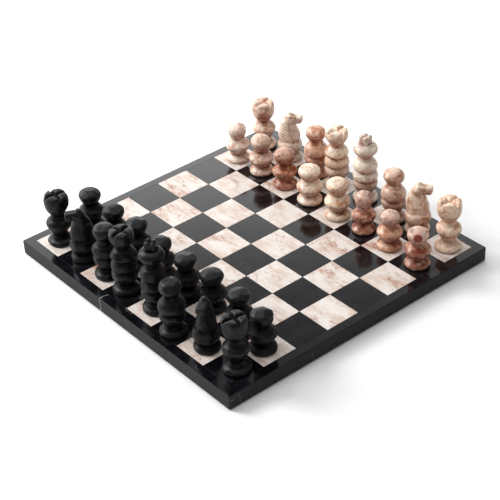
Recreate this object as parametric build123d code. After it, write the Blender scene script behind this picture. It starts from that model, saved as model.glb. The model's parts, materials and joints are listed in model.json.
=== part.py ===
from build123d import *
import os

# Chess set with its marble board: 32 carved stone pieces standing on an inlaid board.
# Millimetres. Origin at the centre of the board's underside, +Z up, +X along the ranks
# from the queens' side to the kings' side, +Y from the black army to the white army.

# ---- driving dimensions ----
SQUARE = 40.0            # pitch of the 8 x 8 playing grid
JOINT = 0.4              # cement joint between neighbouring tiles
BORDER_WIDTH = 10.4      # width of a border strip
STONE_DEPTH = 15.8       # height of the border strips
FELT_DEPTH = 1.0         # cloth glued under the stone
FELT_INSET = 2.5         # cloth stops this far inside the stone's outline
TILE_DEPTH = 6.5
CEMENT_DEPTH = 0.8       # bed of cement under the tiles
JOINT_RECESS = 0.15      # cement stops this far below the tiles' faces
CORNER_RADIUS = 1.6      # worn vertical corners of the board
ARRIS = 0.7              # chamfer along the border's outer edges
WHITE_STRETCH = 0.97     # the white army is carved a little shorter than the black,
WHITE_GIRTH = 0.97       # and a little slimmer

GRID = 8 * SQUARE
FIELD = GRID + JOINT                     # inner opening of the border frame
BOARD = FIELD + 2 * BORDER_WIDTH         # outer side of the board
STONE_BOTTOM = FELT_DEPTH
BOARD_TOP = FELT_DEPTH + STONE_DEPTH
TILE_BOTTOM = BOARD_TOP - TILE_DEPTH
SLAB_TOP = TILE_BOTTOM - CEMENT_DEPTH

# ---- outlines of the turned pieces ----
# Each outline starts at the foot's rim. Every later pair is (point passed, end point) of an
# arc, as (radius, height) above the board. DOME in place of the point passed makes a quarter
# of an ellipse that ends on the axis. Otherwise the last point closes to the axis, level.
DOME = None
PAWN_BODY = [(11.4, 0),
             ((13.4, 2.4), (11.9, 5.6)),
             ((9.4, 8.0), (8.0, 10.8)),
             ((10.7, 13.4), (12.4, 16.6)),
             ((13.8, 20.2), (12.2, 23.2)),
             ((9.4, 26.2), (7.2, 30.4))]
ROOK = [(12.0, 0),
        ((13.8, 2.2), (12.2, 5.4)),
        ((8.7, 8.2), (7.4, 12.4)),
        ((9.5, 16.0), (11.8, 20.6)),
        ((13.2, 24.6), (11.4, 28.4)),
        ((8.2, 31.6), (6.9, 36.0)),
        ((9.8, 39.4), (11.8, 43.4)),
        ((12.7, 50.0), (11.5, 57.5)),
        ((11.0, 58.4), (9.8, 58.7))]
BISHOP = [(12.2, 0),
          ((13.7, 2.4), (12.2, 5.8)),
          ((9.4, 8.8), (8.3, 12.6)),
          ((10.6, 15.4), (12.4, 18.6)),
          ((13.2, 22.0), (10.2, 27.0)),
          ((12.7, 28.4), (13.5, 31.0)),
          ((12.6, 35.8), (9.8, 39.6)),
          ((8.0, 42.8), (7.2, 47.0)),
          ((9.4, 49.0), (11.0, 54.2)),
          (DOME, (0, 62.0))]
QUEEN = [(12.2, 0),
         ((13.8, 2.4), (12.4, 5.8)),
         ((9.4, 8.6), (8.2, 12.0)),
         ((10.8, 14.6), (12.6, 17.6)),
         ((13.5, 21.4), (10.2, 27.8)),
         ((12.8, 29.0), (13.5, 31.2)),
         ((12.5, 36.0), (9.2, 40.2)),
         ((12.4, 41.4), (13.2, 43.6)),
         ((11.2, 48.4), (8.0, 51.8)),
         ((7.2, 53.4), (7.0, 55.4)),
         ((9.2, 57.8), (11.2, 61.0)),
         ((12.5, 66.0), (11.5, 71.4)),
         ((11.1, 72.2), (10.1, 72.4))]
KING = [(12.4, 0),
        ((13.8, 2.4), (12.4, 5.8)),
        ((9.6, 8.8), (8.4, 12.6)),
        ((10.8, 15.2), (12.5, 18.6)),
        ((13.4, 22.0), (10.2, 27.4)),
        ((12.9, 28.6), (13.6, 30.8)),
        ((12.6, 35.2), (9.2, 39.2)),
        ((12.3, 40.6), (13.2, 43.2)),
        ((11.8, 48.6), (8.8, 52.0)),
        ((7.5, 54.2), (7.1, 56.8)),
        ((9.4, 58.8), (11.8, 61.2)),
        ((13.0, 65.0), (11.3, 69.2)),
        ((8.6, 71.0), (4.5, 71.8))]
KNIGHT_FOOT = [(12.0, 0),
               ((13.4, 2.4), (12.2, 5.4)),
               ((10.4, 7.6), (9.6, 9.8)),
               ((13.7, 18.0), (10.9, 25.6))]

# ---- crowns ----
CROWN_GROOVE_WIDTH = 5.4      # the V grooves crossed over a rook's or queen's head
CROWN_GROOVE_DEPTH = 4.6
KING_BLOCK_SIDE = 10.2
KING_BLOCK_BOTTOM = 70.5
KING_BLOCK_TOP = 81.0
KING_GROOVE_WIDTH = 3.6
KING_GROOVE_DEPTH = 3.0

# ---- pawn's head ----
PAWN_HEAD_WIDEST = 0.56       # height of the widest ring, as a share of the head's height
PAWN_CHEEK_HEIGHT = 0.25      # a point of the head's underside, as a share of the head's height
PAWN_CHEEK_OUT = 0.68         # and its share of the way from the neck out to the widest ring

# ---- knight, drawn facing +X ----
# Oval sections of the neck: height, centre forward of the axis, half length, half width.
NECK_SECTIONS = [(25.0, -0.3, 11.3, 10.8),
                 (31.0, -0.4, 12.3, 9.6),
                 (38.0, -1.3, 11.2, 8.0),
                 (45.0, -1.5, 8.8, 6.6),
                 (51.0, -0.4, 6.7, 5.8),
                 (55.5, 0.7, 4.6, 4.8),
                 (58.0, 1.0, 2.4, 3.0)]
# Outline of the muzzle from the side, as (forward of the axis, height).
MUZZLE_SIDE = [(1.0, 48.2),
               (7.5, 47.8),
               (12.4, 48.2),
               (14.8, 50.2),
               (14.8, 55.9),
               (4.0, 57.0),
               (0.0, 56.0)]
MUZZLE_WIDTH = 9.2
MUZZLE_ARRIS = 0.9
CHEEK_GROOVE_FORWARD = 7.8    # upright V cut down each cheek
CHEEK_GROOVE_SIDE = 1.6
EYE_FORWARD = 2.6
EYE_HEIGHT = 54.4
EYE_RADIUS = 1.3
EAR_RADIUS = 2.5
EAR_CENTRE = (0.6, 58.2)
MANE_NOTCHES = 8              # V cuts across the back edge of the neck
MANE_FIRST = 30.0
MANE_PITCH = 3.2
MANE_NOTCH_SIDE = 1.7

# ---- armies ----
# Back rank from the queens' side: name, kind, standing place off the square's centre (x, y),
# turn about the piece's own axis in degrees, and stretch of its height.
BLACK_RANK = [("queen_rook", "rook", -1.0, -1.0, -8, 1.0),
              ("queen_knight", "knight", 0.0, 0.0, 238, 1.0),
              ("queen_bishop", "bishop", 2.0, 0.0, 0, 0.99),
              ("queen", "queen", -4.0, -1.5, 12, 1.0),
              ("king", "king", 1.5, 1.0, 39, 1.0),
              ("king_bishop", "bishop", 1.5, -8.5, 0, 1.0),
              ("king_knight", "knight", 2.0, 0.0, -55, 1.0),
              ("king_rook", "rook", 5.0, 0.5, -12, 1.03)]
WHITE_RANK = [("queen_rook", "rook", -0.5, -0.5, 8, 1.0),
              ("queen_knight", "knight", 0.5, 2.5, 42, 1.0),
              ("queen_bishop", "bishop", 6.5, 0.5, 0, 1.0),
              ("queen", "queen", -1.2, 1.3, -3, 1.0),
              ("king", "king", -0.1, 4.5, 6, 1.0),
              ("king_bishop", "bishop", 7.0, 0.0, 0, 1.0),
              ("king_knight", "knight", 0.0, 2.5, 34, 1.0),
              ("king_rook", "rook", 3.5, 2.5, -4, 1.01)]
# Pawns from the queens' side: place off the centre (x, y), head radius, head height, and how
# the whole pawn is scaled in girth and in height.
BLACK_PAWNS = [(-1.5, 0.0, 11.8, 15.2, 1.0, 1.0),
               (1.0, 0.0, 11.4, 15.4, 1.0, 1.0),
               (-2.5, 2.5, 11.4, 15.2, 1.0, 1.0),
               (1.0, 0.0, 11.4, 15.2, 1.0, 1.0),
               (2.0, -0.5, 11.6, 15.2, 1.0, 1.02),
               (-1.0, 2.5, 11.9, 15.4, 1.0, 1.0),
               (1.0, 1.0, 11.6, 15.0, 0.98, 1.0),
               (-0.5, -3.0, 11.2, 15.2, 1.02, 1.01)]
WHITE_PAWNS = [(1.8, -1.6, 10.2, 16.8, 1.0, 1.0),
               (0.8, -0.3, 11.2, 19.6, 1.0, 0.97),
               (0.0, 0.0, 11.3, 18.0, 1.0, 0.99),
               (2.0, -1.5, 11.7, 15.2, 1.03, 1.0),
               (4.0, -0.2, 11.6, 16.8, 1.02, 1.01),
               (1.9, 1.7, 10.0, 18.6, 0.94, 1.0),
               (1.8, 0.1, 10.0, 15.2, 0.98, 0.98),
               (3.2, -1.9, 10.9, 15.2, 1.0, 0.98)]
BACK_RANK_ROW = 3.5           # squares from the board's centre line
PAWN_ROW = 2.5


def turned(outline):
    """Solid of revolution from an outline of arcs."""
    start = outline[0]
    edges = [Line((0, start[1]), start)]
    for passed, end in outline[1:]:
        if passed is DOME:
            middle = (0, start[1])
            rise = end[1] - start[1]
            edges.append(EllipticalCenterArc(middle, start[0], rise, start_angle=0, arc_size=90))
        else:
            edges.append(ThreePointArc(start, passed, end))
        start = end
    if start[0] > 0:
        edges.append(Line(start, (0, start[1])))
    edges.append(Line((0, start[1]), (0, outline[0][1])))
    upright = Plane.XZ * make_face(edges)
    return revolve(upright, axis=Axis.Z)


def groove(width, depth, top, turn):
    """Long V-shaped cutter across the axis, open at height top."""
    overshoot = 1.5          # the cutter carries on this far above the crown
    spread = width / 2 * (depth + overshoot) / depth
    open_end = top + overshoot
    vee = make_face(Polyline((0, top - depth), (spread, open_end), (-spread, open_end), close=True))
    bar = extrude(Plane.XZ * vee, amount=SQUARE / 2, both=True)
    return Rotation(0, 0, turn) * bar


def crossed_grooves(body, width, depth, top):
    return body - groove(width, depth, top, 0) - groove(width, depth, top, 90)


def pawn(head_radius, head_height):
    neck_radius, neck_height = PAWN_BODY[-1][1]
    widest = neck_height + PAWN_HEAD_WIDEST * head_height
    cheek_radius = neck_radius + PAWN_CHEEK_OUT * (head_radius - neck_radius)
    cheek = (cheek_radius, neck_height + PAWN_CHEEK_HEIGHT * head_height)
    crown = (0, neck_height + head_height)
    return turned(PAWN_BODY + [(cheek, (head_radius, widest)), (DOME, crown)])


def rook():
    return crossed_grooves(turned(ROOK), CROWN_GROOVE_WIDTH, CROWN_GROOVE_DEPTH, ROOK[-1][1][1])


def bishop():
    return turned(BISHOP)


def queen():
    return crossed_grooves(turned(QUEEN), CROWN_GROOVE_WIDTH, CROWN_GROOVE_DEPTH, QUEEN[-1][1][1])


def king():
    height = KING_BLOCK_TOP - KING_BLOCK_BOTTOM
    block = Pos(0, 0, KING_BLOCK_BOTTOM + height / 2) * Box(KING_BLOCK_SIDE, KING_BLOCK_SIDE, height)
    block = crossed_grooves(block, KING_GROOVE_WIDTH, KING_GROOVE_DEPTH, KING_BLOCK_TOP)
    return turned(KING) + block


def knight_neck():
    sections = [Pos(centre, 0, height) * Ellipse(half_length, half_width)
                for height, centre, half_length, half_width in NECK_SECTIONS]
    return loft(sections)


def knight_muzzle():
    side = Plane.XZ * make_face(Polyline(*MUZZLE_SIDE, close=True))
    block = extrude(side, amount=MUZZLE_WIDTH / 2, both=True)
    along = block.edges().filter_by(GeomType.LINE)
    cheeks = [edge for edge in along if abs(abs(edge.center().Y) - MUZZLE_WIDTH / 2) < 0.01]
    return chamfer(cheeks, MUZZLE_ARRIS)


def back_of_neck(height):
    """How far forward of the axis the back edge of the neck lies at a height."""
    for lower, upper in zip(NECK_SECTIONS, NECK_SECTIONS[1:]):
        if lower[0] <= height <= upper[0]:
            share = (height - lower[0]) / (upper[0] - lower[0])
            back_below = lower[1] - lower[2]
            back_above = upper[1] - upper[2]
            return back_below + share * (back_above - back_below)


def mane_cuts():
    """Square bars that cut the row of notches, each lying on its corner."""
    heights = [MANE_FIRST + MANE_PITCH * number for number in range(MANE_NOTCHES)]
    bar = Box(MANE_NOTCH_SIDE, 2 * MUZZLE_WIDTH, MANE_NOTCH_SIDE)
    return [Pos(back_of_neck(height), 0, height) * Rotation(0, 45, 0) * bar for height in heights]


def face_cuts():
    """Cheek grooves and eye hollows of both sides of the head."""
    cuts = []
    low = MUZZLE_SIDE[1][1] - 1
    high = MUZZLE_SIDE[-2][1] + 1
    bar = Box(CHEEK_GROOVE_SIDE, CHEEK_GROOVE_SIDE, high - low)
    for side in (-1, 1):
        cheek = side * MUZZLE_WIDTH / 2
        cuts.append(Pos(CHEEK_GROOVE_FORWARD, cheek, (low + high) / 2) * Rotation(0, 0, 45) * bar)
        cuts.append(Pos(EYE_FORWARD, cheek, EYE_HEIGHT) * Sphere(EYE_RADIUS))
    return cuts


def knight():
    forward, height = EAR_CENTRE
    ear = Pos(forward, 0, height) * Sphere(EAR_RADIUS)
    carved = turned(KNIGHT_FOOT) + knight_neck() + knight_muzzle() + ear
    return carved - mane_cuts() - face_cuts()


PATTERNS = {"rook": rook, "knight": knight, "bishop": bishop, "queen": queen, "king": king}


def standing(body, file_number, row, place_x, place_y, turn, girth, stretch):
    """Put a piece on its square, file_number counted from 0 at the queens' side."""
    x = (file_number - 3.5) * SQUARE + place_x
    y = row * SQUARE + place_y
    sized = scale(body, by=(girth, girth, stretch))
    return Pos(x, y, BOARD_TOP) * Rotation(0, 0, turn) * sized


def army(colour, side, rank, pawns, army_girth, army_stretch):
    """All sixteen pieces of one colour, by node name; side is -1 or +1 along Y."""
    pieces = {}
    row = side * BACK_RANK_ROW
    for file_number, (name, kind, place_x, place_y, turn, stretch) in enumerate(rank):
        body = PATTERNS[kind]()
        pieces[f"{colour}_{name}"] = standing(body, file_number, row, place_x, place_y, turn,
                                              army_girth, stretch * army_stretch)
    row = side * PAWN_ROW
    for file_number, (place_x, place_y, radius, height, girth, stretch) in enumerate(pawns):
        body = pawn(radius, height)
        name = f"{colour}_pawn_{file_number + 1}"
        pieces[name] = standing(body, file_number, row, place_x, place_y, 0,
                                girth * army_girth, stretch * army_stretch)
    return pieces


def slab(side, bottom, top):
    return Pos(0, 0, (bottom + top) / 2) * Box(side, side, top - bottom)


def tile_centres(light):
    """Centres of the 32 light or dark squares; the queens' side black corner is light."""
    for column in range(8):
        for row in range(8):
            if ((column + row) % 2 == 0) == light:
                yield ((column - 3.5) * SQUARE, (row - 3.5) * SQUARE)


def tiles(light):
    side = SQUARE - JOINT
    middle = (TILE_BOTTOM + BOARD_TOP) / 2
    return Compound([Pos(x, y, middle) * Box(side, side, TILE_DEPTH) for x, y in tile_centres(light)])


def cement_bed():
    """Bed under the tiles with ribs that fill the joints, one solid."""
    rib_top = BOARD_TOP - JOINT_RECESS
    bed = slab(FIELD, SLAB_TOP, rib_top)
    side = SQUARE - JOINT
    pocket_depth = rib_top - TILE_BOTTOM
    pockets = [Pos(x, y, TILE_BOTTOM + pocket_depth / 2) * Box(side, side, pocket_depth)
               for light in (True, False) for x, y in tile_centres(light)]
    return bed - pockets


def border_ring():
    block = slab(BOARD, STONE_BOTTOM, BOARD_TOP)
    block = fillet(block.edges().filter_by(Axis.Z), CORNER_RADIUS)
    rims = [edge for edge in block.edges() if edge.center().Z in (STONE_BOTTOM, BOARD_TOP)]
    return chamfer(rims, ARRIS) - slab(FIELD, STONE_BOTTOM - 1, BOARD_TOP + 1)


def border_strips():
    """The four mitred strips of the border, by node name."""
    ring = border_ring()
    reach = BOARD
    wedge = make_face(Polyline((0, 0), (reach, -reach), (reach, reach), close=True))
    prism = extrude(wedge, amount=BOARD_TOP + 1)
    sides = {"border_kings_side": 0,
             "border_white_side": 90,
             "border_queens_side": 180,
             "border_black_side": 270}
    return {name: ring & (Rotation(0, 0, turn) * prism) for name, turn in sides.items()}


def board():
    nodes = {"felt_sheet": slab(BOARD - 2 * FELT_INSET, 0, FELT_DEPTH),
             "backing_slab": slab(FIELD, STONE_BOTTOM, SLAB_TOP),
             "cement_bed": cement_bed(),
             "light_tiles": tiles(True),
             "dark_tiles": tiles(False)}
    nodes.update(border_strips())
    return nodes


def main():
    os.makedirs("parts", exist_ok=True)
    nodes = board()
    nodes.update(army("black", -1, BLACK_RANK, BLACK_PAWNS, 1.0, 1.0))
    nodes.update(army("white", 1, WHITE_RANK, WHITE_PAWNS, WHITE_GIRTH, WHITE_STRETCH))
    for name, shape in nodes.items():
        export_step(shape, f"parts/{name}.step")


main()
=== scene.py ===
import json
import math
import random

import bpy
import numpy as np
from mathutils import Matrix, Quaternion, Vector, noise


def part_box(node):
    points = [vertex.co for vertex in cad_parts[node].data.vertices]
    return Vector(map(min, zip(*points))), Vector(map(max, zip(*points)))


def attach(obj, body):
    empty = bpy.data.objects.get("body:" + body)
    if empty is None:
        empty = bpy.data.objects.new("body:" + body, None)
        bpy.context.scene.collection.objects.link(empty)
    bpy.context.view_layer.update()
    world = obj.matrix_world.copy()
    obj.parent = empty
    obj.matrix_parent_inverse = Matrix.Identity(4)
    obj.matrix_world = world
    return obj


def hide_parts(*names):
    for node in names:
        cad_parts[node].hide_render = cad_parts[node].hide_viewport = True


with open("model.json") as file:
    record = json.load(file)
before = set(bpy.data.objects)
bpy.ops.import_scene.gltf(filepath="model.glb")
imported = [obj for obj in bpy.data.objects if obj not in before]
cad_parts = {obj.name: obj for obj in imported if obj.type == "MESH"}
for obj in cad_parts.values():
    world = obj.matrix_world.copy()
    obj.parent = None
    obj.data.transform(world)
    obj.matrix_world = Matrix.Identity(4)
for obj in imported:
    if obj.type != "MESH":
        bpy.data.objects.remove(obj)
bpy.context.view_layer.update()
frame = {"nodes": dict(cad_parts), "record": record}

# Hand-carved marble chess set. Metres, in the CAD's row frame: +X towards the kings' side,
# +Y from the black army to the pale army, +Z up. MM turns a millimetre into metres.
MM = 0.001
NODES = frame["nodes"]
BODIES = frame["record"]["behaviour"]["bodies"]
BOARD_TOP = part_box("light_tiles")[1].z
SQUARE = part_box("backing_slab")[1].x / 4

# ---- carving ----
VOXEL = 0.62 * MM
POLISH_PASSES = 2
UNEVEN_DEPTH = 0.35 * MM     # slow swells of a shape made by eye
UNEVEN_SIZE = 9 * MM
RIPPLE_DEPTH = 0.05 * MM     # and the smaller waves of grinding over them
RIPPLE_SIZE = 2.5 * MM
CHIP_COUNT = 7
CHIP_SIZES = (0.9 * MM, 2.2 * MM)
CHIP_DEPTH_SHARE = 0.35      # of a chip's size
RIM_REACH = 14 * MM          # how far above the start of a tier its rim may be
FOOT_HEIGHT = 8 * MM
KNIGHT_TIERS = (26 * MM, 44 * MM)
FACET_COUNT = 9              # ground flats around each tier
CROWN_FACET_COUNT = 5        # more of them over the top of a head
BLACK_FACET_DEPTH = 0.75 * MM
PALE_FACET_DEPTH = 0.3 * MM
BLACK_STOCK = 0.2 * MM       # stone left outside the CAD outline, to make up for the grinding
PALE_STOCK = 0.4 * MM
HOLLOW_PASSES = 40           # smoothing passes that measure how hollow or proud a spot is
HOLLOW_START = -0.15 * MM    # how far a spot is sunk where staining and painted shade start; level spots have some
HOLLOW_SPAN = 0.45 * MM      # and how much deeper it is where fully stained and shaded
PROUD_START = 0.4 * MM       # a spot this proud starts to be worn
PROUD_SPAN = 0.5 * MM
FACET_EDGE = 0.12 * MM       # how soft the edge of a ground facet is
MANE_BOTTOM = 28.5 * MM      # height above the board
MANE_TOP = 55 * MM
MANE_PITCH = 3.2 * MM
RIB_DEPTH = 0.6 * MM
WORN_RIB_SHARE = 0.3         # how much of that is left on the pale king's knight

# ---- marks in the stone, in millimetres ----
TILE_SHIFT = 900.0           # how far apart in the marble two tiles may be cut
VEIN_ACROSS = -31.0          # along X, where a white vein crosses the black army's border strip
VEIN_WIDTH = 0.6
STRIP_EDGE = -158.0          # along Y, inside which that vein is gone
STRIP_FADE = 2.0
ZONE_WOBBLE = 9.0            # how far a colour zone's limit wanders up and down
ZONE_FADE = 0.8
SPOT_PIECE = "pawn_8"        # the pale pawn with a dark red inclusion in its head
SPOT_HEIGHT = 38.5
SPOT_TURN = math.radians(-46.64)  # the side of the pawn it is on, as an azimuth
SPOT_DEPTH = 10.3            # from the pawn's axis
SPOT_SIZE = 4.6

# ---- camera and light ----
CAMERA_PLACE = Vector((0.9616, -0.7686, 0.8738))
CAMERA_TARGET = Vector((0.0079, -0.0081, 0.0168))
CAMERA_ROLL = math.radians(-2.83)
CAMERA_LENS = 104.28
WALL_TURN = math.radians(175)      # middle of the bright wall, as an azimuth
WALL_TOP_START = 0.50              # the wall fades out between these sines of elevation
WALL_TOP_END = 0.62
WALL_SIDE_START = 0.32             # and between these cosines of the angle away from its middle
WALL_SIDE_END = 0.8
WALL_GLOW = 2.75
ROOM_GLOW = 0.32
OVERHEAD_PLACE = (-0.2, 0.1, 2.2)
OVERHEAD_SIZE = 2.4
OVERHEAD_POWER = 27
KEY_PLACE = (-1.1, -0.8, 1.1)
KEY_SIZE = 0.7
KEY_POWER = 24
FLOOR_REACH = 30.0
FLOOR_TONE = (0.95, 0.95, 0.95)


class Shader:
    """A node tree. Each method adds a node and returns its output socket."""

    def __init__(self, tree):
        self.tree = tree
        self.tree.nodes.clear()

    def add(self, kind, **settings):
        made = self.tree.nodes.new(kind)
        for key, value in settings.items():
            setattr(made, key, value)
        return made

    def feed(self, socket, value):
        """Link a socket, or set a plain number, vector or colour."""
        if isinstance(value, bpy.types.NodeSocket):
            self.tree.links.new(value, socket)
        elif value is not None:
            if socket.type == "RGBA" and len(value) == 3:
                value = (*value, 1.0)
            socket.default_value = value

    def math(self, operation, first, second=None, third=None):
        made = self.add("ShaderNodeMath", operation=operation)
        for socket, value in zip(made.inputs, (first, second, third)):
            self.feed(socket, value)
        return made.outputs[0]

    def vector(self, operation, first, second=None):
        made = self.add("ShaderNodeVectorMath", operation=operation)
        self.feed(made.inputs[0], first)
        if operation == "SCALE":
            self.feed(made.inputs["Scale"], second)
        else:
            self.feed(made.inputs[1], second)
        return made.outputs["Vector"]

    def noise(self, place, size_mm, detail=4.0, rough=0.55, twist=0.0, colour=False):
        """Noise whose blobs are about size_mm across; place is in millimetres."""
        made = self.add("ShaderNodeTexNoise")
        self.feed(made.inputs["Vector"], place)
        self.feed(made.inputs["Scale"], 1.0 / size_mm)
        self.feed(made.inputs["Detail"], detail)
        self.feed(made.inputs["Roughness"], rough)
        self.feed(made.inputs["Distortion"], twist)
        return made.outputs["Color" if colour else "Fac"]

    def span(self, value, low, high, out_low=0.0, out_high=1.0):
        """Smooth step of value from low to high."""
        made = self.add("ShaderNodeMapRange", interpolation_type="SMOOTHSTEP")
        for key, number in (("Value", value), ("From Min", low), ("From Max", high),
                            ("To Min", out_low), ("To Max", out_high)):
            self.feed(made.inputs[key], number)
        return made.outputs["Result"]

    def mix(self, share, first, second, blend="MIX"):
        made = self.add("ShaderNodeMix", data_type="RGBA", blend_type=blend)
        self.feed(made.inputs["Factor"], share)
        colours = [socket for socket in made.inputs if socket.type == "RGBA"]
        self.feed(colours[0], first)
        self.feed(colours[1], second)
        return next(socket for socket in made.outputs if socket.type == "RGBA")

    def line(self, value, middle, width):
        """1 on the contour where value is middle, falling to 0 at width away."""
        away = self.math("ABSOLUTE", self.math("SUBTRACT", value, middle))
        return self.span(away, 0.0, width, 1.0, 0.0)

    def attribute(self, name):
        return self.add("ShaderNodeAttribute", attribute_name=name).outputs["Fac"]

    def up(self):
        """How far the surface faces up, -1 to 1."""
        normal = self.add("ShaderNodeNewGeometry").outputs["Normal"]
        apart = self.add("ShaderNodeSeparateXYZ")
        self.feed(apart.inputs[0], normal)
        return apart.outputs["Z"]

    def bump(self, height, depth, under=None):
        """Normal from height, where 1 stands for depth metres."""
        made = self.add("ShaderNodeBump")
        self.feed(made.inputs["Height"], height)
        self.feed(made.inputs["Distance"], depth)
        self.feed(made.inputs["Strength"], 1.0)
        self.feed(made.inputs["Normal"], under)
        return made.outputs["Normal"]


class StoneShader(Shader):
    """The node tree of one material, which ends in a stone surface."""

    def __init__(self, name):
        self.material = bpy.data.materials.new(name)
        self.material.use_nodes = True
        super().__init__(self.material.node_tree)
        self.output = self.add("ShaderNodeOutputMaterial")
        self.object_place = self.add("ShaderNodeTexCoord").outputs["Object"]

    def stone(self, colour, roughness, normal, ior=1.5, soft=0.0, gloss=0.5):
        """Finish the tree with one stone surface; gloss 0.5 is the full mirror share of its ior."""
        surface = self.add("ShaderNodeBsdfPrincipled")
        self.feed(surface.inputs["Base Color"], colour)
        self.feed(surface.inputs["Roughness"], roughness)
        self.feed(surface.inputs["Normal"], normal)
        surface.inputs["IOR"].default_value = ior
        self.feed(surface.inputs["Specular IOR Level"], gloss)
        if soft:
            surface.inputs["Subsurface Weight"].default_value = soft
            surface.inputs["Subsurface Radius"].default_value = (1.0, 0.45, 0.3)
            surface.inputs["Subsurface Scale"].default_value = 2.0 * MM
        self.tree.links.new(surface.outputs[0], self.output.inputs["Surface"])
        return self.material


def linear(*srgb):
    """A colour picked on the 0 to 255 display scale, as linear light."""
    return tuple((c / 255) ** 2.2 for c in srgb)


# ---- materials ----
def millimetres(shader, shift=(0.0, 0.0, 0.0)):
    grown = shader.vector("SCALE", shader.object_place, 1 / MM)
    return shader.vector("ADD", grown, shift)


def warped(shader, place, size, push):
    """place pushed about by a coarse noise, in millimetres."""
    sway = shader.vector("SUBTRACT", shader.noise(place, size, 2.0, colour=True), (0.5, 0.5, 0.5))
    return shader.vector("ADD", place, shader.vector("SCALE", sway, push))


def per_tile(shader, place):
    """place moved far away by a different amount on each tile, and the tile's random value."""
    column = shader.vector("FLOOR", shader.vector("SCALE", place, MM / SQUARE))
    dice = shader.add("ShaderNodeTexWhiteNoise", noise_dimensions="2D")
    shader.feed(dice.inputs["Vector"], column)
    far = shader.vector("SCALE", dice.outputs["Color"], TILE_SHIFT)
    return shader.vector("ADD", place, far), dice.outputs["Value"]


def pale_tile_marble():
    """Polished off-white marble with soft brown streaks and a few rusty spots, unlike on each tile."""
    shader = StoneShader("pale_tile_marble")
    place, dice = per_tile(shader, millimetres(shader))
    place = warped(shader, place, 16.0, 9.0)
    drawn = shader.vector("MULTIPLY", place, (0.55, 1.25, 1.0))
    cloud = shader.noise(drawn, 14.0, 7.0, 0.66)
    patch = shader.noise(shader.vector("ADD", drawn, (50.0, 9.0, 3.0)), 20.0, 5.0, 0.62)
    thread = shader.line(shader.noise(drawn, 9.0, 6.0, 0.62, 0.5), 0.5, 0.045)
    grain = shader.noise(place, 1.3, 3.0, 0.7)
    colour = shader.mix(shader.span(cloud, 0.4, 0.66), linear(228, 221, 215), linear(208, 188, 174))
    colour = shader.mix(shader.span(patch, 0.56, 0.76), colour, linear(190, 148, 124))
    strong = shader.math("MULTIPLY", thread, shader.span(patch, 0.46, 0.66))
    colour = shader.mix(shader.math("MULTIPLY", strong, 0.75), colour, linear(150, 98, 74))
    rust = shader.span(shader.noise(place, 6.0, 3.0), 0.68, 0.76)
    rusty = shader.math("MULTIPLY", rust, shader.span(dice, 0.5, 0.56))
    colour = shader.mix(shader.math("MULTIPLY", rusty, 0.8), colour, linear(140, 76, 42))
    grey = shader.span(grain, 0.3, 0.7, 0.0, 0.16)
    colour = shader.mix(grey, colour, linear(205, 185, 172), "MULTIPLY")
    roughness = shader.span(grain, 0.3, 0.7, 0.14, 0.24)
    normal = shader.bump(shader.noise(place, 30.0, 2.0), 0.05 * MM)
    return shader.stone(colour, roughness, normal)


def black_tile_marble():
    """Polished black marble with a few pale threads and specks."""
    shader = StoneShader("black_tile_marble")
    place, dice = per_tile(shader, millimetres(shader))
    bent = warped(shader, place, 22.0, 14.0)
    cloud = shader.noise(bent, 18.0, 6.0, 0.6)
    thread = shader.line(shader.noise(bent, 34.0, 3.0, 0.5), 0.5, 0.005)
    shown = shader.span(shader.noise(place, 20.0, 2.0), 0.6, 0.7)
    speck = shader.span(shader.noise(place, 0.9, 2.0), 0.76, 0.82)
    colour = shader.mix(shader.span(cloud, 0.4, 0.7), linear(17, 17, 20), linear(28, 28, 32))
    colour = shader.mix(shader.math("MULTIPLY", dice, 0.3), colour, linear(34, 33, 35))
    thread = shader.math("MULTIPLY", thread, shown)
    colour = shader.mix(shader.math("MULTIPLY", thread, 0.4), colour, linear(130, 128, 126))
    colour = shader.mix(shader.math("MULTIPLY", speck, 0.3), colour, linear(110, 108, 106))
    roughness = shader.span(cloud, 0.35, 0.7, 0.06, 0.11)
    normal = shader.bump(shader.noise(place, 26.0, 2.0), 0.03 * MM)
    return shader.stone(colour, roughness, normal, ior=1.6)


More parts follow.
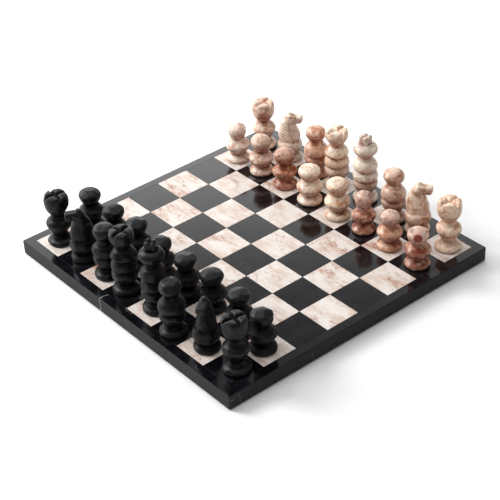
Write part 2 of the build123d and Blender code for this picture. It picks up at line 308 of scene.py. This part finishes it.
def border_marble():
    """The same black marble: polished on top, honed and dusty on the sides."""
    shader = StoneShader("border_marble")
    place = millimetres(shader)
    bent = warped(shader, place, 24.0, 16.0)
    cloud = shader.noise(bent, 20.0, 6.0, 0.6)
    thread = shader.line(shader.noise(bent, 60.0, 2.0, 0.5), 0.52, 0.004)
    shown = shader.span(shader.noise(place, 45.0, 2.0), 0.56, 0.66)
    flat = shader.span(shader.up(), 0.75, 0.97)
    rubbed = shader.noise(place, 3.0, 5.0, 0.7)
    colour = shader.mix(shader.span(cloud, 0.4, 0.7), linear(17, 17, 20), linear(28, 28, 32))
    honed = shader.mix(shader.span(rubbed, 0.35, 0.7), linear(27, 28, 30), linear(42, 43, 45))
    colour = shader.mix(flat, honed, colour)
    thread = shader.math("MULTIPLY", thread, shown)
    colour = shader.mix(shader.math("MULTIPLY", thread, 0.4), colour, linear(150, 148, 145))
    apart = shader.add("ShaderNodeSeparateXYZ")
    shader.feed(apart.inputs[0], warped(shader, place, 7.0, 6.0))
    crossing = shader.line(apart.outputs["X"], VEIN_ACROSS, VEIN_WIDTH)
    front = shader.span(apart.outputs["Y"], STRIP_EDGE - STRIP_FADE, STRIP_EDGE, 1.0, 0.0)
    crossing = shader.math("MULTIPLY", crossing, front)
    colour = shader.mix(shader.math("MULTIPLY", crossing, 0.7), colour, linear(186, 184, 180))
    honed_roughness = shader.span(rubbed, 0.3, 0.7, 0.42, 0.56)
    smoother = shader.math("SUBTRACT", 0.1, honed_roughness)
    roughness = shader.math("MULTIPLY_ADD", flat, smoother, honed_roughness)
    scratches = shader.math("MULTIPLY", rubbed, shader.math("SUBTRACT", 1.0, flat))
    normal = shader.bump(scratches, 0.12 * MM)
    gloss = shader.span(flat, 0.0, 1.0, 0.12, 0.6)
    return shader.stone(colour, roughness, normal, ior=1.6, gloss=gloss)


def black_piece_marble():
    """Hand-ground black marble: satin, paler on top with dust and painted top light, pale where it is
    rubbed, with painted shade in its hollows.
    """
    shader = StoneShader("black_piece_marble")
    place = millimetres(shader)
    bent = warped(shader, place, 9.0, 6.0)
    cloud = shader.noise(bent, 8.0, 6.0, 0.62)
    grind = shader.noise(bent, 0.8, 4.0, 0.7)
    thread = shader.line(shader.noise(bent, 17.0, 3.0, 0.5), 0.5, 0.006)
    shown = shader.span(shader.noise(place, 14.0, 2.0), 0.56, 0.68)
    hollow = shader.attribute("hollow")
    proud = shader.attribute("proud")
    colour = shader.mix(shader.span(cloud, 0.35, 0.7), linear(8, 8, 10), linear(16, 16, 19))
    # Upward faces are paler: dust, and painted top light from the lamps above.
    level = shader.span(shader.up(), 0.55, 0.98)
    dust_and_top_light = shader.math("MULTIPLY", level, shader.span(grind, 0.2, 0.75, 0.25, 1.0))
    colour = shader.mix(shader.math("MULTIPLY", dust_and_top_light, 0.4), colour, linear(46, 48, 51))
    worn = shader.math("MULTIPLY", proud, shader.span(grind, 0.4, 0.65))
    colour = shader.mix(shader.math("MULTIPLY", worn, 0.45), colour, linear(64, 65, 67))
    thread = shader.math("MULTIPLY", thread, shown)
    colour = shader.mix(shader.math("MULTIPLY", thread, 0.3), colour, linear(110, 108, 106))
    # Painted shade: hollows and creases are darkened almost to black, and their gloss is lowered
    # further down.
    colour = shader.mix(shader.math("MULTIPLY", hollow, 0.8), colour, linear(8, 8, 9))
    roughness = shader.span(grind, 0.25, 0.75, 0.32, 0.48)
    normal = shader.bump(grind, 0.07 * MM, shader.bump(cloud, 0.3 * MM))
    gloss = shader.span(hollow, 0.0, 1.0, 0.21, 0.03)
    return shader.stone(colour, roughness, normal, gloss=gloss)


def zone_share(shader, place, wobble, low, high):
    """1 between two heights above the board in millimetres, with a wavy limit."""
    apart = shader.add("ShaderNodeSeparateXYZ")
    shader.feed(apart.inputs[0], place)
    height = shader.math("SUBTRACT", apart.outputs["Z"], BOARD_TOP / MM)
    height = shader.math("MULTIPLY_ADD", shader.math("SUBTRACT", wobble, 0.5), ZONE_WOBBLE, height)
    above = shader.span(height, low - ZONE_FADE, low + ZONE_FADE)
    below = shader.span(height, high - ZONE_FADE, high + ZONE_FADE, 1.0, 0.0)
    return shader.math("MULTIPLY", above, below)


def spot_share(shader, middle):
    """1 inside the round inclusion, with a wavy rim."""
    away = shader.add("ShaderNodeVectorMath", operation="DISTANCE")
    shader.feed(away.inputs[0], warped(shader, millimetres(shader), 4.0, 1.5))
    shader.feed(away.inputs[1], middle)
    return shader.span(away.outputs["Value"], SPOT_SIZE - 1.0, SPOT_SIZE + 0.6, 0.95, 0.0)


def pale_piece_marble(name, colours, redness, seed, zones, spot):
    """Hand-ground pale marble of one piece. redness is how much salmon and rust it holds."""
    cream, salmon, rust, vein_colour = (linear(*colour) for colour in colours)
    shader = StoneShader(name)
    place = millimetres(shader, (seed * 37.0, seed * 91.0, seed * 53.0))
    bent = warped(shader, place, 12.0, 9.0)
    cloud = shader.noise(bent, 10.0, 4.0, 0.55)
    band = shader.noise(shader.vector("MULTIPLY", bent, (0.6, 0.6, 1.5)), 11.0, 4.0, 0.52, 0.8)
    blotch = shader.noise(bent, 5.0, 4.0, 0.6)
    thread = shader.line(shader.noise(bent, 15.0, 3.0, 0.5, 0.6), 0.5, 0.016)
    crack = shader.line(shader.noise(bent, 22.0, 4.0, 0.55, 0.4), 0.47, 0.009)
    wisp = shader.line(shader.noise(bent, 8.0, 3.0, 0.5, 0.8), 0.5, 0.022)
    wisp = shader.math("MULTIPLY", wisp, shader.span(blotch, 0.46, 0.6))
    grain = shader.noise(place, 1.1, 4.0, 0.75)
    hollow = shader.attribute("hollow")
    proud = shader.attribute("proud")
    start = 0.6 - 0.3 * redness
    colour = shader.mix(shader.span(cloud, start, start + 0.18), cream, salmon)
    colour = shader.mix(shader.span(band, start + 0.06, start + 0.22), colour, rust)
    colour = shader.mix(shader.span(blotch, 0.56, 0.72, 0.0, 0.3 + 0.3 * redness), colour, rust)
    for low, high, tint, share in zones:
        inside = zone_share(shader, millimetres(shader), band, low, high)
        colour = shader.mix(shader.math("MULTIPLY", inside, share), colour, linear(*tint))
    colour = shader.mix(shader.math("MULTIPLY", proud, 0.3), colour, cream)
    patches = shader.span(shader.noise(bent, 8.0, 3.0, 0.55), 0.5, 0.6, 0.0, 0.9 * redness)
    colour = shader.mix(patches, colour, cream)
    mottle = shader.span(shader.noise(bent, 5.5, 3.0, 0.55), 0.53, 0.63, 0.0, 0.8 * redness)
    colour = shader.mix(mottle, colour, rust)
    # Painted shade: downward faces are darkened and browned; so are the hollows, partly real brown
    # staining and partly painted shade.
    underside_shade = shader.span(shader.up(), -0.7, 0.5, 0.82, 0.0)
    stain_and_shade = shader.math("MULTIPLY", shader.math("MAXIMUM", hollow, underside_shade),
                       shader.span(blotch, 0.25, 0.6, 0.55, 1.0))
    colour = shader.mix(stain_and_shade, colour, shader.mix(0.9, colour, linear(152, 86, 58), "MULTIPLY"))
    colour = shader.mix(shader.math("MULTIPLY", thread, 0.4 + 0.3 * redness), colour, vein_colour)
    wisp = shader.math("MULTIPLY", wisp, 0.35 + 0.35 * redness)
    colour = shader.mix(wisp, colour, linear(132, 78, 54))
    colour = shader.mix(shader.math("MULTIPLY", crack, 0.6), colour, linear(104, 66, 52))
    if spot:
        colour = shader.mix(spot_share(shader, spot), colour, linear(124, 42, 26))
    grey = shader.span(grain, 0.3, 0.7, 0.0, 0.06)
    colour = shader.mix(grey, colour, linear(190, 160, 142), "MULTIPLY")
    roughness = shader.span(grain, 0.3, 0.7, 0.25, 0.36)
    normal = shader.bump(grain, 0.03 * MM, shader.bump(blotch, 0.12 * MM))
    return shader.stone(colour, roughness, normal, soft=0.06, gloss=0.38)


def rough_filler(name, dark, light, size):
    """Cement, sawn backing stone or felt: a mottled matt surface."""
    shader = StoneShader(name)
    place = millimetres(shader)
    grit = shader.noise(place, size, 5.0, 0.75)
    colour = shader.mix(shader.span(grit, 0.3, 0.7), dark, light)
    normal = shader.bump(grit, 0.2 * MM)
    return shader.stone(colour, 0.9, normal)


def paint(target, material):
    target.data.materials.clear()
    target.data.materials.append(material)


# ---- mesh tools ----
def coordinates(mesh):
    flat = np.empty(len(mesh.vertices) * 3)
    mesh.vertices.foreach_get("co", flat)
    return flat.reshape(-1, 3)


def normals(mesh):
    flat = np.empty(len(mesh.vertices) * 3)
    mesh.vertex_normals.foreach_get("vector", flat)
    return flat.reshape(-1, 3)


def edge_ends(mesh):
    flat = np.empty(len(mesh.edges) * 2, np.int64)
    mesh.edges.foreach_get("vertices", flat)
    return flat.reshape(-1, 2)


def smoothed(points, edges, passes):
    """Each point moved to the mean of its neighbours, passes times over."""
    first, second = edges[:, 0], edges[:, 1]
    degree = np.bincount(edges.ravel(), minlength=len(points))[:, None]
    for _ in range(passes):
        total = np.stack([np.bincount(first, points[second, axis], len(points))
                          + np.bincount(second, points[first, axis], len(points))
                          for axis in range(3)], axis=1)
        points = total / degree
    return points


def carving_block(node):
    """A fine, evenly meshed copy of a CAD node, ready to carve."""
    rough = NODES[node].copy()
    rough.data = NODES[node].data.copy()
    bpy.context.scene.collection.objects.link(rough)
    rough.parent = None
    remesh = rough.modifiers.new("remesh", "REMESH")
    remesh.mode = "VOXEL"
    remesh.voxel_size = VOXEL
    evaluated = rough.evaluated_get(bpy.context.evaluated_depsgraph_get())
    fine = bpy.data.meshes.new_from_object(evaluated)
    bpy.data.objects.remove(rough)
    carved = bpy.data.objects.new("carved_" + node, fine)
    bpy.context.scene.collection.objects.link(carved)
    return carved


def local_frame(node):
    """Centre of a piece's foot, in the row frame."""
    points = coordinates(NODES[node].data)
    foot = points[points[:, 2] < points[:, 2].min() + FOOT_HEIGHT]
    middle = (foot.min(0) + foot.max(0)) / 2
    return np.array([middle[0], middle[1], BOARD_TOP])


def tier_limits(points):
    """Heights of the necks and creases that part a turned piece into tiers."""
    step = 0.5 * MM
    radius = np.hypot(points[:, 0], points[:, 1])
    count = int(points[:, 2].max() / step) + 1
    profile = np.zeros(count)
    np.maximum.at(profile, np.clip((points[:, 2] / step).astype(int), 0, count - 1), radius)
    reach = 6
    limits = [0.0]
    for i in range(reach, count - reach):
        narrowest = profile[i - reach:i + reach + 1].min()
        if profile[i] == narrowest and i * step - limits[-1] > reach * step:
            limits.append(i * step)
    return limits + [points[:, 2].max() + step]


def grind_flat(points, chosen, direction, depth):
    """Flatten the proudest spot of the chosen points along direction, depth deep."""
    reach = points[chosen] @ direction
    over = reach - (reach.max() - depth)
    share = np.clip(0.5 - 0.5 * over / FACET_EDGE, 0, 1)
    kept = over * share - FACET_EDGE * share * (1 - share)
    points[chosen] += (kept - over)[:, None] * direction


def ground_facets(points, limits, dice, depth, count):
    """Flat spots left by the grinding wheel, in rings around each tier."""
    for low, high in zip(limits, limits[1:]):
        chosen = np.nonzero((points[:, 2] >= low) & (points[:, 2] < high))[0]
        if len(chosen) == 0:
            continue
        first = dice.uniform(0, math.tau)
        crown = high >= limits[-1]
        rings = [(count, -0.5, 0.6)]
        if crown:
            rings.append((CROWN_FACET_COUNT, 0.8, 1.5))
        for spots, lowest, highest in rings:
            for k in range(spots):
                turn = first + math.tau * (k + dice.uniform(-0.3, 0.3)) / spots
                rise = dice.uniform(lowest, highest)
                direction = np.array([math.cos(turn) * math.cos(rise),
                                      math.sin(turn) * math.cos(rise), math.sin(rise)])
                grind_flat(points, chosen, direction, depth * dice.uniform(0.4, 1.3))


def uneven(points, outward, seed, amount, size):
    """Push points in and out by a smooth noise."""
    shift = Vector((seed * 3.1, seed * 1.7, seed * 2.3))
    push = np.array([noise.noise(Vector(p) / size + shift) for p in points])
    points += outward * (push * amount)[:, None]


def chips(points, outward, dice, count, limits):
    """Small scars knocked out of the rims."""
    radius = np.hypot(points[:, 0], points[:, 1])
    for _ in range(count):
        low = dice.choice(limits[:-1])
        band = np.nonzero((points[:, 2] > low) & (points[:, 2] < low + RIM_REACH))[0]
        if len(band) == 0:
            continue
        turn = dice.uniform(-math.pi, math.pi)
        apart = np.arctan2(points[band, 1], points[band, 0]) - turn
        near = band[np.abs((apart + math.pi) % math.tau - math.pi) < 0.2]
        if len(near) == 0:
            continue
        spot = points[near[np.argmax(radius[near])]]
        size = dice.uniform(*CHIP_SIZES)
        away = np.linalg.norm(points - spot, axis=1)
        depth = CHIP_DEPTH_SHARE * size * np.clip(1 - away / size, 0, 1) ** 1.5
        points -= outward * depth[:, None]


def comb_mane(points, outward, depth):
    """Ribs across the back of a knight's neck, carried on from the notches of its back edge."""
    head = points[points[:, 2] > MANE_TOP - 6 * MM]
    facing = head[:, :2].mean(0)
    facing /= np.linalg.norm(facing)
    forward = points[:, :2] @ facing
    behind = np.clip((-forward - 1.0 * MM) / (4 * MM), 0, 1)
    within = (np.clip((points[:, 2] - MANE_BOTTOM) / (2 * MM), 0, 1)
              * np.clip((MANE_TOP - points[:, 2]) / (2 * MM), 0, 1))
    wave = 0.5 + 0.5 * np.cos(math.tau * (points[:, 2] + 0.3 * forward - MANE_BOTTOM) / MANE_PITCH)
    points -= outward * (depth * wave * behind * within)[:, None]


def store(mesh, name, values):
    mesh.attributes.new(name, "FLOAT", "POINT").data.foreach_set("value", values.astype(np.float32))


def finish_carving(carved, centre, points, edges):
    """Write the points back, keep them on the board, and record hollow and proud spots."""
    points[:, 2] = np.maximum(points[:, 2], 0.0)
    mesh = carved.data
    mesh.vertices.foreach_set("co", (points + centre).ravel())
    mesh.update()
    outward = normals(mesh)
    sunk = ((smoothed(points, edges, HOLLOW_PASSES) - points) * outward).sum(1)
    lifted = points[:, 2] > 1.0 * MM
    store(mesh, "hollow", np.clip((sunk - HOLLOW_START) / HOLLOW_SPAN, 0, 1) * lifted)
    store(mesh, "proud", np.clip((-sunk - PROUD_START) / PROUD_SPAN, 0, 1) * lifted)
    mesh.shade_smooth()


# ---- pieces ----
def carve_piece(node, seed, facet_depth, stock):
    """A hand-carved copy of a CAD piece."""
    dice = random.Random(seed)
    carved = carving_block(node)
    centre = local_frame(node)
    edges = edge_ends(carved.data)
    points = smoothed(coordinates(carved.data) - centre, edges, POLISH_PASSES)
    if "knight" in node:
        limits = [0.0, *KNIGHT_TIERS, points[:, 2].max() + MM]
    else:
        limits = tier_limits(points)
    ground_facets(points, limits, dice, facet_depth, FACET_COUNT)
    outward = normals(carved.data)
    uneven(points, outward, seed, UNEVEN_DEPTH, UNEVEN_SIZE)
    uneven(points, outward, seed + 50, RIPPLE_DEPTH, RIPPLE_SIZE)
    points += outward * stock
    if "knight" in node:
        share = WORN_RIB_SHARE if "white_king" in node else 1.0
        comb_mane(points, outward, RIB_DEPTH * share)
    chips(points, outward, dice, CHIP_COUNT, limits)
    finish_carving(carved, centre, points, edges)
    return carved


PALE = {
    # piece: ((cream, salmon, rust, vein), redness), with colours on the 0 to 255 display scale
    "queen_rook": (((240, 218, 198), (210, 162, 136), (172, 112, 84), (138, 84, 62)), 0.5),
    "queen_knight": (((242, 226, 208), (218, 180, 152), (180, 126, 96), (148, 100, 78)), 0.35),
    "queen_bishop": (((234, 200, 176), (196, 136, 104), (150, 84, 54), (120, 62, 42)), 0.6),
    "queen": (((248, 230, 208), (226, 180, 142), (192, 128, 90), (150, 92, 64)), 0.3),
    "king": (((246, 234, 214), (224, 188, 150), (178, 136, 110), (150, 108, 86)), 0.25),
    "king_bishop": (((232, 202, 180), (204, 156, 130), (150, 110, 94), (130, 80, 62)), 0.55),
    "king_knight": (((240, 218, 196), (214, 168, 136), (174, 114, 80), (140, 86, 62)), 0.45),
    "king_rook": (((242, 216, 190), (212, 164, 132), (172, 106, 76), (150, 78, 56)), 0.4),
    "pawn_1": (((248, 232, 216), (224, 184, 160), (186, 126, 98), (140, 86, 66)), 0.4),
    "pawn_2": (((240, 216, 198), (208, 162, 138), (158, 102, 76), (92, 54, 40)), 0.65),
    "pawn_3": (((220, 168, 140), (176, 106, 76), (128, 64, 42), (104, 54, 40)), 0.75),
    "pawn_4": (((248, 228, 208), (220, 170, 130), (184, 118, 80), (160, 100, 70)), 0.3),
    "pawn_5": (((248, 226, 200), (220, 166, 124), (180, 112, 72), (156, 96, 64)), 0.35),
    "pawn_6": (((228, 186, 162), (170, 102, 76), (118, 58, 38), (88, 42, 30)), 0.75),
    "pawn_7": (((226, 180, 152), (192, 130, 98), (144, 80, 54), (116, 58, 40)), 0.6),
    "pawn_8": (((216, 168, 142), (142, 72, 46), (98, 42, 26), (226, 192, 170)), 0.7),
}
ZONES = {
    # piece: (from height, to height, colour, share) in millimetres above the board
    "queen_bishop": [(28, 41, (228, 192, 168), 0.6), (12, 27, (160, 92, 60), 0.5),
                     (42, 49, (168, 98, 66), 0.5)],
    "queen": [(12, 28, (196, 154, 134), 0.5), (28, 40, (216, 168, 136), 0.4)],
    "king": [(27, 39, (240, 232, 220), 0.6), (12, 27, (164, 132, 118), 0.7),
             (68, 90, (170, 146, 140), 0.6)],
    "king_bishop": [(12, 27, (150, 116, 104), 0.6), (27, 38, (206, 172, 156), 0.5)],
    "pawn_8": [(28, 60, (240, 216, 200), 0.6), (0, 29, (126, 56, 34), 0.7)],
    "pawn_2": [(30, 60, (204, 160, 138), 0.4)],
    "pawn_3": [(39, 60, (206, 180, 164), 0.55)],
    "pawn_6": [(29, 60, (230, 204, 190), 0.65)],
    "pawn_7": [(29, 60, (230, 206, 194), 0.7)],
}


def round_spot(body):
    """Where the dark red inclusion sits in a pawn's head, in millimetres."""
    low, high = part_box(body)
    middle = (low + high) / 2 / MM
    away = Vector((math.cos(SPOT_TURN), math.sin(SPOT_TURN))) * SPOT_DEPTH
    return Vector((middle.x + away.x, middle.y + away.y, BOARD_TOP / MM + SPOT_HEIGHT))


def make_pieces():
    black = black_piece_marble()
    for seed, body in enumerate(sorted(BODIES)):
        if body == "board":
            continue
        colour, _, name = body.partition("_")
        if colour == "black":
            carved = carve_piece(body, seed, BLACK_FACET_DEPTH, BLACK_STOCK)
            paint(carved, black)
        else:
            carved = carve_piece(body, seed, PALE_FACET_DEPTH, PALE_STOCK)
            spot = round_spot(body) if name == SPOT_PIECE else None
            colours, redness = PALE[name]
            zones = ZONES.get(name, [])
            paint(carved, pale_piece_marble("pale_" + name, colours, redness, seed, zones, spot))
        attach(carved, body)
        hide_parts(body)


# ---- board ----
def finish_board():
    paint(NODES["light_tiles"], pale_tile_marble())
    paint(NODES["dark_tiles"], black_tile_marble())
    cement = rough_filler("cement", linear(12, 12, 13), linear(34, 33, 32), 1.2)
    paint(NODES["cement_bed"], cement)
    backing = rough_filler("backing_stone", linear(64, 64, 66), linear(92, 92, 94), 4.0)
    paint(NODES["backing_slab"], backing)
    felt = rough_filler("felt", linear(24, 26, 28), linear(44, 46, 48), 0.5)
    paint(NODES["felt_sheet"], felt)
    border = border_marble()
    for name in BODIES["board"]:
        if name.startswith("border"):
            paint(NODES[name], border)


# ---- studio ----
def floor():
    made = bpy.data.meshes.new("floor")
    reach = FLOOR_REACH
    corners = [(-reach, -reach, 0), (reach, -reach, 0), (reach, reach, 0), (-reach, reach, 0)]
    made.from_pydata(corners, [], [(0, 1, 2, 3)])
    plane = bpy.data.objects.new("floor", made)
    bpy.context.scene.collection.objects.link(plane)
    shader = StoneShader("floor_paper")
    paint(plane, shader.stone(FLOOR_TONE, 0.9, None, gloss=0.0))


def softbox(name, place, size, power):
    """A square soft light aimed at the middle of the floor."""
    lamp = bpy.data.lights.new(name, "AREA")
    lamp.shape = "RECTANGLE"
    lamp.size = size
    lamp.size_y = size
    lamp.energy = power
    holder = bpy.data.objects.new(name, lamp)
    holder.location = place
    holder.rotation_mode = "QUATERNION"
    holder.rotation_quaternion = (-Vector(place)).to_track_quat("-Z", "Y")
    bpy.context.scene.collection.objects.link(holder)


def surroundings():
    """A dim studio with a bright low wall on the far side, which the polished tiles mirror."""
    world = bpy.data.worlds.new("studio")
    bpy.context.scene.world = world
    world.use_nodes = True
    shader = Shader(world.node_tree)
    direction = shader.add("ShaderNodeTexCoord").outputs["Generated"]
    apart = shader.add("ShaderNodeSeparateXYZ")
    shader.feed(apart.inputs[0], direction)
    low = shader.span(apart.outputs["Z"], WALL_TOP_START, WALL_TOP_END, 1.0, 0.0)
    toward = shader.add("ShaderNodeVectorMath", operation="DOT_PRODUCT")
    shader.feed(toward.inputs[0], direction)
    shader.feed(toward.inputs[1], (math.cos(WALL_TURN), math.sin(WALL_TURN), 0.0))
    behind = shader.span(toward.outputs["Value"], WALL_SIDE_START, WALL_SIDE_END)
    wall = shader.math("MULTIPLY", shader.math("MULTIPLY", low, behind), WALL_GLOW)
    glow = shader.add("ShaderNodeBackground")
    shader.feed(glow.inputs["Strength"], shader.math("ADD", wall, ROOM_GLOW))
    output = shader.add("ShaderNodeOutputWorld")
    shader.tree.links.new(glow.outputs[0], output.inputs["Surface"])


def camera():
    lens = bpy.data.cameras.new("camera")
    lens.lens = CAMERA_LENS
    lens.sensor_width = 36.0
    eye = bpy.data.objects.new("camera", lens)
    eye.location = CAMERA_PLACE
    eye.rotation_mode = "QUATERNION"
    aim = (CAMERA_TARGET - CAMERA_PLACE).to_track_quat("-Z", "Y")
    eye.rotation_quaternion = aim @ Quaternion((0, 0, 1), CAMERA_ROLL)
    bpy.context.scene.collection.objects.link(eye)
    bpy.context.scene.camera = eye


make_pieces()
finish_board()
floor()
surroundings()
softbox("overhead", OVERHEAD_PLACE, OVERHEAD_SIZE, OVERHEAD_POWER)
softbox("key", KEY_PLACE, KEY_SIZE, KEY_POWER)
camera()
bpy.context.scene.view_settings.view_transform = "Standard"
